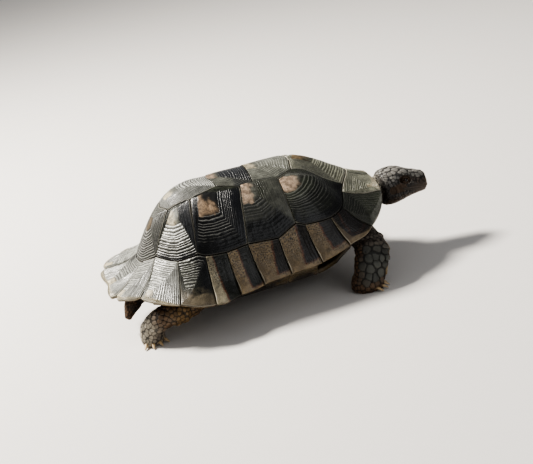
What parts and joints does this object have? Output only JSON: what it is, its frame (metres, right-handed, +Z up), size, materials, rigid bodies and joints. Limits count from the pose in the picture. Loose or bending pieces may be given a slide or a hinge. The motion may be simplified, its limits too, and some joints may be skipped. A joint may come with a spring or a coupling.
{
  "type": "marginated tortoise, still life-size model",
  "caption": "Still, life-size model of a walking tortoise with a ridged horn shell, flared rear rim and outstretched head.",
  "frame": {"origin": "on the floor under the middle of the whole animal, centre of its bounding box", "axes": "+X towards the head, +Y to the animal's left, +Z up"},
  "size_m": [0.3558, 0.1898, 0.1343],
  "materials": {
    "shell_horn": "dark grey-green to near-black horn with fine growth ridges and tan centres",
    "margin_horn": "edge plates of tan and black horn at the sides, pale grey at both ends",
    "underside_horn": "worn yellow-brown horn with dark blotches",
    "skin": "dry scaly skin, grey-brown with yellowish and blue-grey scales",
    "head_skin": "smooth dark head shields with a grey sheen",
    "eye": "wet dark eye"
  },
  "bodies": {
    "root": {"scute_vertebral_1": "shell_horn", "scute_vertebral_2": "shell_horn", "scute_vertebral_3": "shell_horn", "scute_vertebral_4": "shell_horn", "scute_vertebral_5": "shell_horn", "scute_costal_l_1": "shell_horn", "scute_costal_l_2": "shell_horn", "scute_costal_l_3": "shell_horn", "scute_costal_l_4": "shell_horn", "scute_costal_r_1": "shell_horn", "scute_costal_r_2": "shell_horn", "scute_costal_r_3": "shell_horn", "scute_costal_r_4": "shell_horn", "scute_nuchal": "margin_horn", "scute_supracaudal": "margin_horn", "scute_marginal_l_1": "margin_horn", "scute_marginal_l_2": "margin_horn", "scute_marginal_l_3": "margin_horn", "scute_marginal_l_4": "margin_horn", "scute_marginal_l_5": "margin_horn", "scute_marginal_l_6": "margin_horn", "scute_marginal_l_7": "margin_horn", "scute_marginal_l_8": "margin_horn", "scute_marginal_l_9": "margin_horn", "scute_marginal_l_10": "margin_horn", "scute_marginal_l_11": "margin_horn", "scute_marginal_r_1": "margin_horn", "scute_marginal_r_2": "margin_horn", "scute_marginal_r_3": "margin_horn", "scute_marginal_r_4": "margin_horn", "scute_marginal_r_5": "margin_horn", "scute_marginal_r_6": "margin_horn", "scute_marginal_r_7": "margin_horn", "scute_marginal_r_8": "margin_horn", "scute_marginal_r_9": "margin_horn", "scute_marginal_r_10": "margin_horn", "scute_marginal_r_11": "margin_horn", "plastron_gular_l": "underside_horn", "plastron_humeral_l": "underside_horn", "plastron_pectoral_l": "underside_horn", "plastron_abdominal_l": "underside_horn", "plastron_femoral_l": "underside_horn", "plastron_anal_l": "underside_horn", "plastron_gular_r": "underside_horn", "plastron_humeral_r": "underside_horn", "plastron_pectoral_r": "underside_horn", "plastron_abdominal_r": "underside_horn", "plastron_femoral_r": "underside_horn", "plastron_anal_r": "underside_horn", "trunk": "skin", "eye_l": "eye", "eye_r": "eye", "head": "head_skin", "neck": "skin", "leg_fore_r": "skin", "leg_fore_l": "skin", "leg_hind_r": "skin", "leg_hind_l": "skin", "tail": "skin"}
  },
  "joints": []
}
